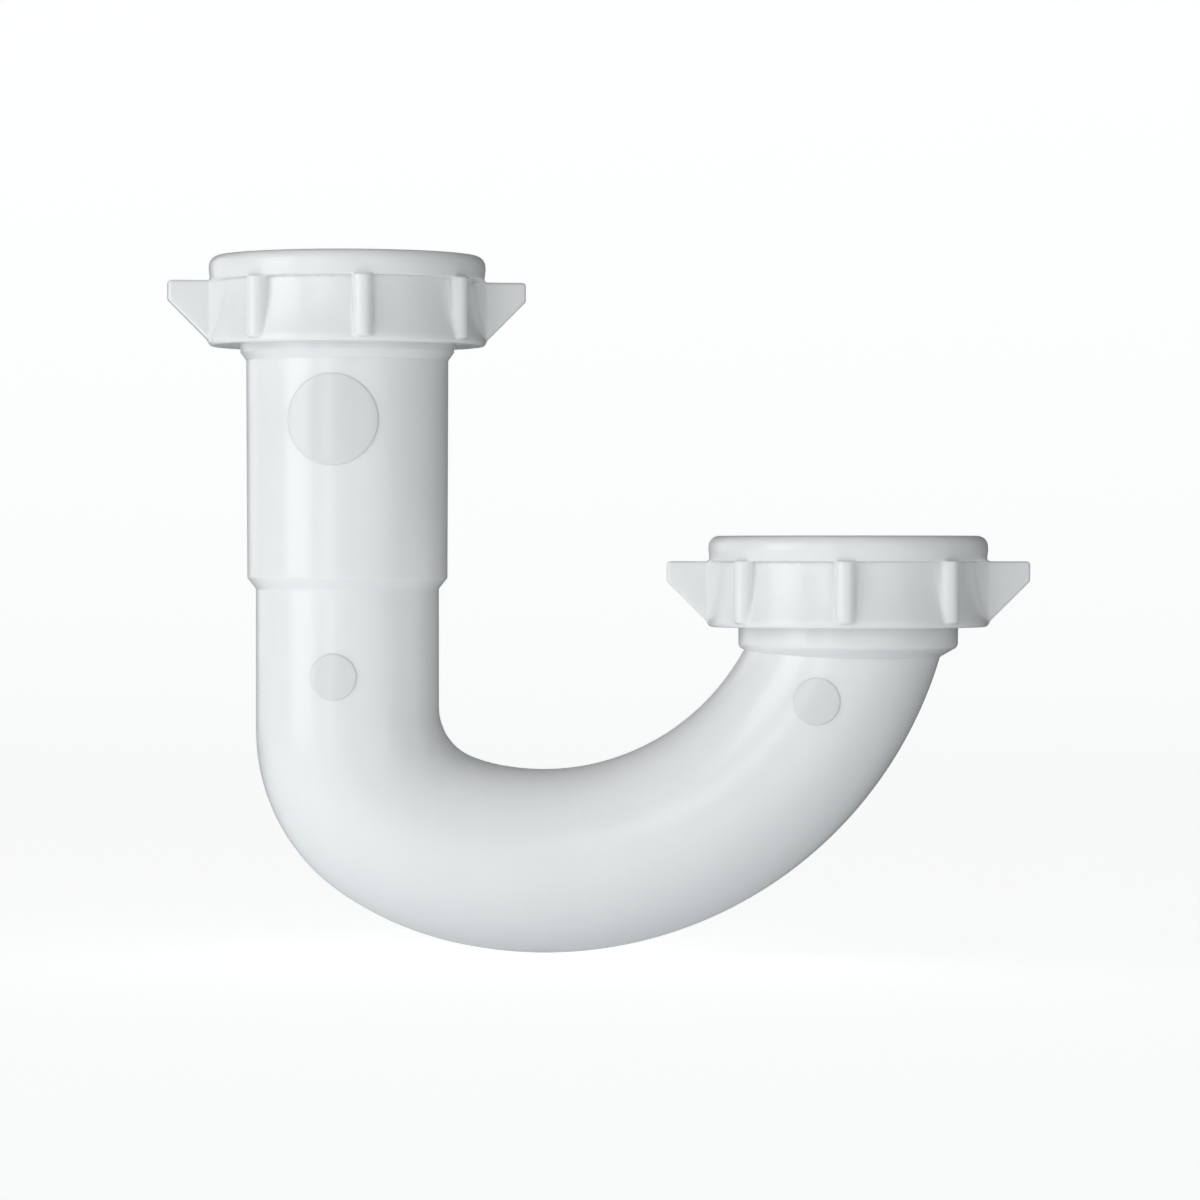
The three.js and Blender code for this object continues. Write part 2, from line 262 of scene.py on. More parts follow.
def ring_faces(rows, closed):
    faces = []
    for i in range(rows if closed else rows - 1):
        this, following = i * ROUND, ((i + 1) % rows) * ROUND
        for j in range(ROUND):
            k = (j + 1) % ROUND
            faces.append((this + j, this + k, following + k, following + j))
    return faces


def ring_solid(name, rings):
    """A closed solid through the rings, with a fan over each end."""
    points = np.concatenate(rings + [rings[0].mean(0)[None], rings[-1].mean(0)[None]])
    first_centre, last_centre = len(points) - 2, len(points) - 1
    last = (len(rings) - 1) * ROUND
    faces = ring_faces(len(rings), closed=False)
    for j in range(ROUND):
        k = (j + 1) % ROUND
        faces.append((first_centre, k, j))
        faces.append((last_centre, last + j, last + k))
    return new_object(name, points, faces)


def new_object(name, points_mm, faces):
    mesh = bpy.data.meshes.new(name)
    mesh.from_pydata((np.asarray(points_mm) * MM).tolist(), [], faces)
    mesh.validate()
    piece = bpy.data.objects.new(name, mesh)
    bpy.context.scene.collection.objects.link(piece)
    return piece


def combine(piece, tool, operation):
    """Joins tool to piece, or cuts it away, and removes tool."""
    modifier = piece.modifiers.new(operation, "BOOLEAN")
    modifier.operation = operation
    modifier.object = tool
    modifier.solver = "MANIFOLD"
    evaluated = piece.evaluated_get(bpy.context.evaluated_depsgraph_get())
    result = bpy.data.meshes.new_from_object(evaluated)
    piece.modifiers.clear()
    piece.data = result
    bpy.data.objects.remove(tool)


def smooth_shaded(piece):
    piece.data.shade_smooth()
    piece.data.set_sharp_from_angle(angle=math.radians(SHARP_DEGREES))


# ---------------------------------------------------------------- threads


def ridge_height(theta, height, thread_top, turns, full_height):
    """How far a right-hand ridge stands off its root, at an angle about +Z and a height over the foot."""
    nearest = np.round((thread_top + PITCH * theta / (2 * math.pi) - height) / PITCH)
    turn = nearest - theta / (2 * math.pi)
    offset = np.abs(height - (thread_top - PITCH * turn))
    flank = np.clip((RIDGE_BASE / 2 - offset) / ((RIDGE_BASE - RIDGE_CREST) / 2), 0, 1)
    fade = np.clip(np.minimum(turn, turns - turn) / FADE_TURNS, 0, 1)
    return full_height * flank * flank * (3 - 2 * flank) * fade


def threaded_ring(centre_x, z, lean, foot, clocking):
    flat = ring(centre_x, z, lean, np.ones(ROUND))
    theta = np.mod(np.arctan2(flat[:, 1], flat[:, 0] - centre_x) - clocking, 2 * math.pi)
    height = ridge_height(theta, z - foot, THREAD_TOP, BEND_TURNS, THREAD_CREST - THREAD_ROOT)
    return ring(centre_x, z, lean, THREAD_ROOT + height)


def mouth_rings(centre_x, lean, foot, clocking, outline, bottom):
    """Rings for an outline that includes the threaded wall of a mouth above bottom."""
    rings = []
    for start, end in zip(outline, outline[1:]):
        upright = abs(start[0] - end[0]) < SAME_RADIUS
        wall = upright and min(start[1], end[1]) >= bottom
        for radius, z in spaced([start, end], THREAD_STEP if wall else LONG_STEP)[:-1]:
            if wall or abs(radius - THREAD_ROOT) < SAME_RADIUS:
                rings.append(threaded_ring(centre_x, z, lean, foot, clocking))
            else:
                rings.append(ring(centre_x, z, lean, radius))
    rings.append(ring(centre_x, outline[-1][1], lean, outline[-1][0]))
    return rings


# ---------------------------------------------------------------- the trap bend


def arc_point(arc, turn):
    centre, radius = arc[:2]
    return centre - radius * np.array([math.cos(turn), math.sin(turn)])


def centreline():
    """Points and turns down to the tight corner from the top of its fillet, and on round the arcs."""
    steps = round((THROAT[1] - CORNER_TOP) / LONG_STEP)
    points = [(np.array([INLET_X, z]), 0.0) for z in np.linspace(THROAT[1], CORNER_TOP, steps + 1)]
    for arc in ARCS:
        _, radius, start, end = arc
        steps = round((radius + TUBE_RADIUS) * (end - start) / LONG_STEP)
        points += [(arc_point(arc, turn), turn) for turn in np.linspace(start, end, steps + 1)[1:]]
    return points


def throat_rise(point, turn):
    """How far the fillet in the tight corner stands off the plain tube at this place."""
    inward = np.array([math.cos(turn), math.sin(turn)])
    along = (THROAT - point) @ inward
    beside = (THROAT - point) @ (THROAT - point) - along**2
    if turn > THROAT_END or beside > THROAT_RADIUS**2:
        return 0.0
    return max(0.0, along - math.sqrt(THROAT_RADIUS**2 - beside) - TUBE_RADIUS)


def bend_rings(radius, throat=0.0):
    """Rings along the centreline. The share given as throat adds the fillet inside the corner."""
    rings = []
    inner_side = np.clip(-np.cos(angles()), 0, 1) ** 2
    for point, turn in centreline():
        swell = throat * throat_rise(point, turn) * inner_side
        rings.append(ring(point[0], point[1], turn + LEG_DIRECTION, radius + swell))
    return rings


def bend_skin():
    outline = rounded(
        [
            (BORE_RADIUS, INLET_RIM, 0),
            (THREAD_ROOT, INLET_RIM, 0.5),
            (THREAD_ROOT, NECK_TOP, 0),
            (NECK_RADIUS, NECK_TOP, 0),
            (NECK_RADIUS, NECK_BOTTOM, 0.4),
            (SLEEVE_TOP_RADIUS, SHOULDER_BOTTOM, 0.5),
            (SLEEVE_FOOT_RADIUS, SLEEVE_BOTTOM + SLEEVE_BEVEL, 0.6),
            (TUBE_RADIUS, SLEEVE_BOTTOM, 0.8),
            (TUBE_RADIUS, THROAT[1] + LONG_STEP, 0),
        ]
    )
    leg = mouth_rings(INLET_X, LEG_DIRECTION, INLET_FOOT, INLET_CLOCKING, outline, NECK_TOP)
    return ring_solid("trap_bend_moulding", leg + bend_rings(TUBE_RADIUS, throat=1.0))


def outlet_collar():
    outline = rounded(
        [
            (BORE_RADIUS / 2, COLLAR_BOTTOM, 0),
            (TUBE_RADIUS - 0.4, COLLAR_BOTTOM, 0),
            (THREAD_ROOT, COLLAR_EDGE, 1.3),
            (THREAD_ROOT, OUTLET_RIM, 0.5),
            (BORE_RADIUS, OUTLET_RIM, 0),
        ]
    )
    rings = mouth_rings(OUTLET_X, OUTLET_DIRECTION, OUTLET_FOOT, OUTLET_CLOCKING, outline, COLLAR_EDGE)
    return ring_solid("collar", rings)


def waterway():
    floor = INLET_RIM - INLET_SOCKET_DEPTH
    outline = rounded(
        [
            (MOUTH_RADIUS, INLET_RIM + 1, 0),
            (MOUTH_RADIUS, INLET_RIM, 0.3),
            (SOCKET_RADIUS, INLET_RIM - MOUTH_DEPTH, 1.0),
            (SOCKET_RADIUS, floor, 0.4),
            (BORE_RADIUS, floor, 0.6),
            (BORE_RADIUS, THROAT[1] + LONG_STEP, 0),
        ]
    )
    leg = [ring(INLET_X, z, LEG_DIRECTION, radius) for radius, z in spaced(outline, LONG_STEP)]
    return ring_solid("waterway", leg + bend_rings(BORE_RADIUS))


def outlet_socket():
    floor = OUTLET_RIM - OUTLET_SOCKET_DEPTH
    outline = rounded(
        [
            (BORE_RADIUS / 2, floor, 0),
            (SOCKET_RADIUS, floor, 0.4),
            (SOCKET_RADIUS, OUTLET_RIM - MOUTH_DEPTH, 1.0),
            (MOUTH_RADIUS, OUTLET_RIM, 0.3),
            (MOUTH_RADIUS, OUTLET_RIM + 1, 0),
        ]
    )
    rings = [ring(OUTLET_X, z, OUTLET_DIRECTION, radius) for radius, z in spaced(outline, LONG_STEP)]
    return ring_solid("outlet_socket", rings)


def sleeve_radius(z):
    share = (z - SLEEVE_BOTTOM) / (SHOULDER_BOTTOM - SLEEVE_BOTTOM)
    return SLEEVE_FOOT_RADIUS + share * (SLEEVE_TOP_RADIUS - SLEEVE_FOOT_RADIUS)


def plain_radius(z):
    return TUBE_RADIUS


def off_leg(x, z):
    return x - INLET_X


def off_sweep(x, z):
    centre, radius = ARCS[-1][:2]
    return np.hypot(x - centre[0], z - centre[1]) - radius


def raised_pad(name, centre_x, centre_z, radius, wall_radius, off_centreline):
    """A disc that follows the wall of the tube, stands PAD_RAISED proud of it and has a rounded rim.

    Known fault: its faces point inward, so joining it to the bend leaves the wall under it doubled.
    """
    quarter = np.linspace(0, math.pi / 2, PAD_RIM_RINGS + 1)[1:]
    flat_radius = radius - PAD_RAISED
    face = np.linspace(PAD_MIDDLE, 1, PAD_FACE_RINGS) * flat_radius
    rim = flat_radius + PAD_RAISED * np.sin(quarter)
    radii = np.concatenate([face, rim, [radius, PAD_MIDDLE * radius]])
    face_rises = np.full(PAD_FACE_RINGS, PAD_RAISED)
    rises = np.concatenate([face_rises, PAD_RAISED * np.cos(quarter), [-PAD_DEPTH, -PAD_DEPTH]])
    rings = []
    for disc_radius, rise in zip(radii, rises):
        x = centre_x + disc_radius * np.cos(angles())
        z = centre_z + disc_radius * np.sin(angles())
        wall = wall_radius(z) + rise
        y = -np.sqrt(wall**2 - off_centreline(x, z) ** 2)
        rings.append(np.stack([x, y, z], axis=1))
    return ring_solid(name, rings)


def raised_pads():
    sweep_x, sweep_z = arc_point(ARCS[-1], SWEEP_PAD_TURN)
    return [
        raised_pad("sleeve_pad", INLET_X, SLEEVE_PAD_Z, LARGE_PAD_RADIUS, sleeve_radius, off_leg),
        raised_pad("leg_pad", INLET_X, LEG_PAD_Z, SMALL_PAD_RADIUS, plain_radius, off_leg),
        raised_pad("sweep_pad", sweep_x, sweep_z, SMALL_PAD_RADIUS, plain_radius, off_sweep),
    ]


def trap_bend():
    bend = bend_skin()
    combine(bend, outlet_collar(), "UNION")
    for pad in raised_pads():
        combine(bend, pad, "UNION")
    combine(bend, waterway(), "DIFFERENCE")
    combine(bend, outlet_socket(), "DIFFERENCE")
    smooth_shaded(bend)
    return bend


# ---------------------------------------------------------------- the slip nut


def outline_distance(outline, u, v):
    """Signed distance to a closed outline, negative inside."""
    nearest = np.full(u.shape, np.inf)
    inside = np.zeros(u.shape, bool)
    for start, end in zip(outline, outline[1:] + outline[:1]):
        edge = end - start
        if edge @ edge == 0:
            continue
        across, up = u - start[0], v - start[1]
        share = np.clip((across * edge[0] + up * edge[1]) / (edge @ edge), 0, 1)
        nearest = np.minimum(nearest, (across - edge[0] * share) ** 2 + (up - edge[1] * share) ** 2)
        if edge[1] != 0:
            spans = (start[1] <= v) != (end[1] <= v)
            inside ^= spans & (across < edge[0] * up / edge[1])
    return np.where(inside, -1, 1) * np.sqrt(nearest)


def blended(a, b, width):
    """The union of two distance fields, with a fillet of about that width between them."""
    overlap = np.clip(width - np.abs(a - b), 0, None) / width
    return np.minimum(a, b) - overlap * overlap * width / 4


def nut_outline():
    ring_bottom = NUT_HEIGHT - RING_HEIGHT
    return rounded(
        [
            (NUT_ROOT, NUT_HEIGHT / 2, 0),
            (NUT_ROOT, 0, 0.8),
            (FOOT_RADIUS, 0, 0.7),
            (FOOT_RADIUS - 0.1, FOOT_HEIGHT, 4.0),
            (WAIST_RADIUS, WAIST_BOTTOM, 40.0),
            (WAIST_RADIUS, ring_bottom, 0.2),
            (RING_RADIUS - 0.3, ring_bottom, 0.35),
            (RING_RADIUS, ring_bottom + RING_BELLY, 3.0),
            (RING_RADIUS - 0.2, NUT_HEIGHT, 2.2),
            (NUT_OPENING, NUT_HEIGHT, 0.4),
            (NUT_OPENING, NUT_HEIGHT - NUT_FLANGE, 0.3),
            (NUT_ROOT, NUT_HEIGHT - NUT_FLANGE, 0.5),
            (NUT_ROOT, NUT_HEIGHT / 2, 0),
        ],
        steps=FINE_ARC_STEPS,
    )


def shell_samples():
    """The signed distance to the nut's outline at even steps of radius and height."""
    radii = np.arange(0, WING_TIP + 3 * FIELD_MARGIN, FIELD_STEP)
    heights = np.arange(-FIELD_MARGIN, NUT_HEIGHT + 2 * FIELD_MARGIN, FIELD_STEP)
    return outline_distance(nut_outline(), *np.meshgrid(radii, heights, indexing="ij"))


def shell_distance(samples, radius, height):
    """The sampled field read between its samples, which keeps the slope of its curves even."""
    across = np.clip(radius / FIELD_STEP, 0, samples.shape[0] - 1.001)
    up = np.clip((height + FIELD_MARGIN) / FIELD_STEP, 0, samples.shape[1] - 1.001)
    i, j = across.astype(int), up.astype(int)
    s, t = across - i, up - j
    lower = samples[i, j] * (1 - s) + samples[i + 1, j] * s
    upper = samples[i, j + 1] * (1 - s) + samples[i + 1, j + 1] * s
    return lower * (1 - t) + upper * t


def wing_outline():
    """One wing's side view, drawn in by the rounding that its edges get back."""
    top = NUT_HEIGHT - RING_HEIGHT - WING_ROUNDING
    tip = WING_TIP - WING_ROUNDING
    tip_bottom = NUT_HEIGHT - RING_HEIGHT - WING_TIP_HEIGHT + WING_ROUNDING * (math.sqrt(2) - 1)
    foot = tip_bottom - WING_SLOPE + WING_ROUNDING
    root = NUT_ROOT + 1
    corners = ((root, foot), (tip - tip_bottom + foot, foot), (tip, tip_bottom), (tip, top), (root, top))
    return [np.array(corner) for corner in corners]


def wings_distance(x, y, z):
    side = outline_distance(wing_outline(), np.abs(x), z)
    through = np.abs(y) - (WING_THICKNESS / 2 - WING_ROUNDING)
    outside = np.hypot(np.maximum(side, 0), np.maximum(through, 0))
    return np.minimum(np.maximum(side, through), 0) + outside - WING_ROUNDING


def gussets_distance(x, y, z):
    """The wedge that thickens each wing from the ring's radius in to the skirt."""
    half_tip = WING_THICKNESS / 2
    skirt_x = math.sqrt(WAIST_RADIUS**2 - GUSSET_HALF_WIDTH**2)
    outward = unit(np.array([GUSSET_HALF_WIDTH - half_tip, GUSSET_OUT - skirt_x]))
    slant = (np.abs(x) - GUSSET_OUT) * outward[0] + (np.abs(y) - half_tip) * outward[1]
    sides = np.maximum(np.abs(y) - GUSSET_HALF_WIDTH - 1, NUT_ROOT + 1 - np.hypot(x, y))
    ends = np.maximum(RIB_FOOT - z, z - NUT_HEIGHT + RING_HEIGHT)
    return np.maximum(np.maximum(slant, np.abs(x) - GUSSET_OUT), np.maximum(sides, ends))


def ribs_distance(x, y, z):
    """Upright round bars, half sunk in the skirt, worked out in one quarter and mirrored to the rest."""
    top = NUT_HEIGHT - RING_HEIGHT + RIB_TOP_ROUNDING / 2
    middle = (RIB_FOOT + top) / 2
    rounding = np.where(z < middle, RIB_FOOT_ROUNDING, RIB_TOP_ROUNDING)
    upright = np.abs(z - middle) - (top - RIB_FOOT) / 2 + rounding
    nearest = np.full(x.shape, np.inf)
    for direction in RIB_DIRECTIONS:
        off_x = np.abs(x) - RIB_CENTRE * math.cos(direction)
        off_y = np.abs(y) - RIB_CENTRE * math.sin(direction)
        across = np.hypot(off_x, off_y) - RIB_RADIUS + rounding
        outside = np.hypot(np.maximum(across, 0), np.maximum(upright, 0))
        nearest = np.minimum(nearest, np.minimum(np.maximum(across, upright), 0) + outside - rounding)
    return nearest


def nut_thread_distance(x, y, z):
    radius = np.hypot(x, y)
    theta = np.mod(np.arctan2(y, x), 2 * math.pi)
    height = ridge_height(theta, z, THREAD_TOP - PITCH / 2, NUT_TURNS, NUT_ROOT - NUT_CREST)
    thread_end = NUT_HEIGHT - NUT_FLANGE - NUT_THREAD_BELOW_FLANGE
    wall = np.maximum(NUT_ROOT - height - radius, radius - NUT_ROOT - 1)
    return np.maximum(wall, np.maximum(NUT_THREAD_BOTTOM - z, z - thread_end))


def nut_distance(x, y, z):
    shell = shell_distance(SHELL, np.hypot(x, y), z)
    wings = blended(wings_distance(x, y, z), gussets_distance(x, y, z), FILLET)
    grips = np.minimum(ribs_distance(x, y, z), wings)
    return np.minimum(blended(shell, grips, FILLET), nut_thread_distance(x, y, z))


SHELL = shell_samples()


def nut_slope(points):
    """The distance field's gradient, by steps as long as the outline's samples."""
    slope = []
    for axis in range(3):
        nudge = np.zeros(3)
        nudge[axis] = FIELD_STEP
        ahead, behind = points + nudge, points - nudge
        slope.append((nut_distance(*ahead.T) - nut_distance(*behind.T)) / (2 * FIELD_STEP))
    return np.stack(slope, axis=1)


def on_nut_surface(points, rounds):
    """The points moved along the field's gradient until they lie on the nut."""
    for _ in range(rounds):
        slope = nut_slope(points)
        steepness = np.clip((slope**2).sum(1), LEAST_STEEPNESS, None)
        shift = -nut_distance(*points.T)[:, None] * slope / steepness[:, None]
        points = points + np.clip(shift, -VOXEL / 2, VOXEL / 2)
    return points


def nut_normals(points):
    slope = nut_slope(points)
    return slope / np.linalg.norm(slope, axis=1)[:, None]


def evened_out(points, quads):
    """The points slid along the surface towards the middle of their neighbours, to even the quads."""
    starts = quads.ravel()
    ends = np.roll(quads, -1, axis=1).ravel()
    here, there = np.concatenate([starts, ends]), np.concatenate([ends, starts])
    neighbours = np.bincount(here, minlength=len(points))[:, None]
    for _ in range(EVENING_ROUNDS):
        sums = [np.bincount(here, points[there, axis], len(points)) for axis in range(3)]
        drift = np.stack(sums, axis=1) / np.maximum(neighbours, 1) - points
        normals = nut_normals(points)
        along = drift - (drift * normals).sum(1)[:, None] * normals
        points = on_nut_surface(points + np.where(neighbours > 0, along, 0) * EVENING_SHARE, 1)
    return points


def nut_surface():
    """Points, faces and normals of one slip nut, its foot at z = 0 and its wings along X."""
    reach = WING_TIP + FIELD_MARGIN
    width = RIB_CENTRE + RIB_RADIUS + FIELD_MARGIN
    axes = [
        np.arange(-reach, reach, VOXEL),
        np.arange(-width, width, VOXEL),
        np.arange(-FIELD_MARGIN, NUT_HEIGHT + FIELD_MARGIN, VOXEL),
    ]
    distance = nut_distance(*np.meshgrid(*axes, indexing="ij"))
    grid = openvdb.FloatGrid(background=FIELD_MARGIN)
    grid.copyFromArray(distance.clip(-FIELD_MARGIN, FIELD_MARGIN).astype(np.float32))
    points, triangles, quads = grid.convertToPolygons(isovalue=0.0, adaptivity=0.0)
    points = points.astype(float) * VOXEL + np.array([axis[0] for axis in axes])
    points = on_nut_surface(evened_out(on_nut_surface(points, 3), quads.astype(int)), 2)
    faces = [tuple(face) for face in quads.tolist()] + [tuple(face) for face in triangles.tolist()]
    return points, faces, nut_normals(points)


def faces_point_in(points, faces, normals):
    first = np.array([face[:3] for face in faces])
    a, b, c = points[first[:, 0]], points[first[:, 1]], points[first[:, 2]]
    return (np.cross(b - a, c - a) * normals[first[:, 0]]).sum() < 0


def turned(vectors, angle):
    c, s = math.cos(angle), math.sin(angle)
    return vectors @ np.array([[c, s, 0], [-s, c, 0], [0, 0, 1]])


def slip_nut(name, surface, axis_x, foot, clocking):
    points, faces, normals = surface
    if faces_point_in(points, faces, normals):
        faces = [face[::-1] for face in faces]
    nut = new_object(name, turned(points, clocking) + np.array([axis_x, 0, foot]), faces)
    nut.data.shade_smooth()
    nut.data.normals_split_custom_set_from_vertices(turned(normals, clocking).tolist())
    return nut


# ---------------------------------------------------------------- the slip washer


def slip_washer(name, axis_x, rim):
    bottom = rim + WASHER_GAP
    top = bottom + WASHER_THICKNESS
    middle = (bottom + top) / 2
    outline = rounded(
        [
            (WASHER_BORE, middle, 0),
            (WASHER_BORE, rim - PLUG_DEPTH, 0.2),
            (PLUG_TIP_RADIUS, rim - PLUG_DEPTH, 0.3),
            (PLUG_TOP_RADIUS, bottom, 0.4),
            (WASHER_RADIUS, bottom, 0.4),
            (WASHER_RADIUS, top, 0.6),
            (WASHER_BORE, top, 0.4),
            (WASHER_BORE, middle, 0),
        ]
    )
    rings = [ring(axis_x, z, OUTLET_DIRECTION, radius) for radius, z in spaced(outline, WASHER_STEP)[:-1]]
    washer = new_object(name, np.concatenate(rings), ring_faces(len(rings), closed=True))
    smooth_shaded(washer)
    return washer


# ---------------------------------------------------------------- materials


CLOUD_SCALE = 38  # the noises' scales, in turns to a metre
SWAY_SCALE = 60
FLOW_SCALE = 260
SCUFF_SCALE = 420
PEEL_SCALE = 1500
FLOW_STRETCH = 0.12  # flow lines run along the moulding's height
DARKEST_SHADE = 0.965
ROUGHNESS_SWING = 0.015
SWAY_DEPTH = 0.0006
FLOW_DEPTH = 0.00006
PEEL_DEPTH = 0.00003
GLOW_DEPTH = 0.0025


class Nodes:
    """Short calls for building a material's nodes."""

    def __init__(self, name):
        self.material = bpy.data.materials.new(name)
        self.material.use_nodes = True
        self.tree = self.material.node_tree
        self.tree.nodes.clear()

    def add(self, kind, **settings):
        node = self.tree.nodes.new(kind)
        for key, value in settings.items():
            setattr(node, key, value)
        return node

    def link(self, source, target):
        self.tree.links.new(source, target)

    def math(self, operation, a, b=0.0, clamp=False):
        node = self.add("ShaderNodeMath", operation=operation, use_clamp=clamp)
        for socket, value in zip(node.inputs, (a, b)):
            if isinstance(value, (int, float)):
                socket.default_value = value
            else:
                self.link(value, socket)
        return node.outputs[0]

    def noise(self, vector, scale, detail=2.0, roughness=0.5, distortion=0.0):
        node = self.add("ShaderNodeTexNoise")
        self.link(vector, node.inputs["Vector"])
        node.inputs["Scale"].default_value = scale
        node.inputs["Detail"].default_value = detail
        node.inputs["Roughness"].default_value = roughness
        node.inputs["Distortion"].default_value = distortion
        return node.outputs["Fac"]

    def ramp(self, value, stops):
        node = self.add("ShaderNodeValToRGB")
        self.link(value, node.inputs["Fac"])
        elements = node.color_ramp.elements
        while len(elements) < len(stops):
            elements.new(0.5)
        for element, (position, colour) in zip(elements, stops):
            element.position = position
            element.color = (*colour, 1)
        return node.outputs["Color"]

    def span(self, value, low, high, values=(0, 1)):
        """Maps a range of values, 0 to 1 unless it is given, to low..high."""
        node = self.add("ShaderNodeMapRange")
        self.link(value, node.inputs["Value"])
        node.inputs["From Min"].default_value, node.inputs["From Max"].default_value = values
        node.inputs["To Min"].default_value = low
        node.inputs["To Max"].default_value = high
        return node.outputs["Result"]

    def bump(self, height, distance, strength, after=None):
        node = self.add("ShaderNodeBump")
        node.inputs["Distance"].default_value = distance
        node.inputs["Strength"].default_value = strength
        self.link(height, node.inputs["Height"])
        if after is not None:
            self.link(after, node.inputs["Normal"])
        return node.outputs["Normal"]


def moulded_plastic(name, colour, roughness, translucency):
    """White moulded polyolefin: a soft gloss with orange peel, faint flow lines and a little depth."""
    nodes = Nodes(name)
    place = nodes.add("ShaderNodeTexCoord").outputs["Object"]
    shader = nodes.add("ShaderNodeBsdfPrincipled")
    output = nodes.add("ShaderNodeOutputMaterial")
    nodes.link(shader.outputs["BSDF"], output.inputs["Surface"])

    stretch = nodes.add("ShaderNodeMapping")
    stretch.inputs["Scale"].default_value = (1, 1, FLOW_STRETCH)
    nodes.link(place, stretch.inputs["Vector"])

    cloud = nodes.noise(place, CLOUD_SCALE, detail=3)
    flow = nodes.noise(stretch.outputs["Vector"], FLOW_SCALE, detail=3, distortion=0.6)
    peel = nodes.noise(place, PEEL_SCALE)
    sway = nodes.noise(place, SWAY_SCALE, detail=1)
    scuff = nodes.noise(place, SCUFF_SCALE, detail=6, roughness=0.65)

    tint = nodes.ramp(
        nodes.math("ADD", nodes.math("MULTIPLY", cloud, 0.7), nodes.math("MULTIPLY", flow, 0.3)),
        [(0.3, [channel * DARKEST_SHADE for channel in colour]), (0.7, colour)],
    )
    nodes.link(tint, shader.inputs["Base Color"])

    swings = [nodes.span(noise, -ROUGHNESS_SWING, ROUGHNESS_SWING) for noise in (scuff, cloud)]
    gloss = nodes.math("ADD", *swings)
    nodes.link(nodes.math("ADD", gloss, roughness, clamp=True), shader.inputs["Roughness"])
    shader.inputs["IOR"].default_value = 1.49
    shader.inputs["Subsurface Weight"].default_value = translucency
    shader.inputs["Subsurface Radius"].default_value = (1.0, 0.95, 0.9)
    shader.inputs["Subsurface Scale"].default_value = GLOW_DEPTH

    normal = nodes.bump(sway, SWAY_DEPTH, 0.25)
    normal = nodes.bump(flow, FLOW_DEPTH, 0.35, after=normal)
    normal = nodes.bump(peel, PEEL_DEPTH, 0.45, after=normal)
    nodes.link(normal, shader.inputs["Normal"])
    return nodes.material


def pale_floor():
    """Pale where the camera sees it. It lights the object from the front, and is dark behind it."""
    nodes = Nodes("pale_studio_floor")
    seen = nodes.add("ShaderNodeLightPath").outputs["Is Camera Ray"]
    pale = nodes.add("ShaderNodeBsdfDiffuse")
    pale.inputs["Color"].default_value = FLOOR_COLOUR
    glow = nodes.add("ShaderNodeEmission")
    glow.inputs["Strength"].default_value = FLOOR_GLOW
    bright = nodes.add("ShaderNodeAddShader")
    nodes.link(pale.outputs[0], bright.inputs[0])
    nodes.link(glow.outputs[0], bright.inputs[1])
    cool = nodes.add("ShaderNodeEmission")
    cool.inputs["Color"].default_value = FLOOR_LIGHT
    facing = nodes.add("ShaderNodeVectorMath", operation="DOT_PRODUCT")
    facing.inputs[1].default_value = from_centre(Vector(), CAMERA_AZIMUTH + BRIGHT_SIDE, 0, 1)
    nodes.link(nodes.add("ShaderNodeNewGeometry").outputs["Position"], facing.inputs[0])
    rise = nodes.span(facing.outputs["Value"], FLOOR_BEHIND, FLOOR_IN_FRONT, FLOOR_RISE)
    fall = nodes.span(facing.outputs["Value"], 1.0, FLOOR_FAR_SHARE, FLOOR_FALL)
    nodes.link(nodes.math("MULTIPLY", rise, fall), cool.inputs["Strength"])
    pick = nodes.add("ShaderNodeMixShader")
    nodes.link(seen, pick.inputs["Fac"])
    nodes.link(cool.outputs[0], pick.inputs[1])
    nodes.link(bright.outputs[0], pick.inputs[2])
    output = nodes.add("ShaderNodeOutputMaterial")
    nodes.link(pick.outputs[0], output.inputs["Surface"])
    return nodes.material


# ---------------------------------------------------------------- studio

LIT_PIECES = bpy.data.collections.new("lit_pieces")
CAMERA_AZIMUTH = math.radians(6)
CAMERA_ELEVATION = math.radians(0.6)
CAMERA_DISTANCE = 1.02
FRAME_WIDTH = 0.2508
SENSOR_WIDTH = 36
BRIGHT_SIDE = math.radians(-25)  # the surround is brightest here, from the camera's azimuth
SKY_IN_FRONT = 0.5
SKY_BEHIND = 0.03
FLOOR_IN_FRONT = 1.08
FLOOR_BEHIND = 0.05
FLOOR_FAR_SHARE = 0.5
FLOOR_RISE = (-0.1, 0.1)  # metres towards the bright side, between which the floor's light grows
FLOOR_FALL = (0.1, 0.6)  # and between which it falls to its far share
FLOOR_GLOW = 0.8
FLOOR_COLOUR = (0.6, 0.6, 0.6, 1)
FLOOR_LIGHT = (0.92, 0.97, 1.0, 1)
SKY_LIGHT = (0.95, 0.985, 1.0, 1)
FLOOR_HALF_WIDTH = 9.0
FLOOR_FRONT = -9.0
BACKDROP_Y = 1.6
BACKDROP_BEND = 0.8
BACKDROP_HEIGHT = 3.0
BACKDROP_STEPS = 16
LOOK_AT = Vector((0.00075, 0, 0.0738))
SOFTBOXES = (  # name, azimuth from the camera, elevation, distance, width, height, power, and its shine
    ("key_softbox", -57, 2, 0.9, 0.46, 0.95, 3.9, True),
    ("strip_softbox", -22, 2, 1.0, 0.2, 0.95, 1.3, True),
    ("fill_softbox", 30, -1, 1.1, 0.7, 0.9, 1.9, True),
    ("rim_softbox", -130, 2, 1.1, 0.5, 0.95, 1.6, True),
    ("back_softbox", 180, 8, 0.75, 0.5, 0.3, 3.9, False),
    ("overhead_softbox", -20, 70, 1.3, 1.0, 1.0, 1.0, True),
)


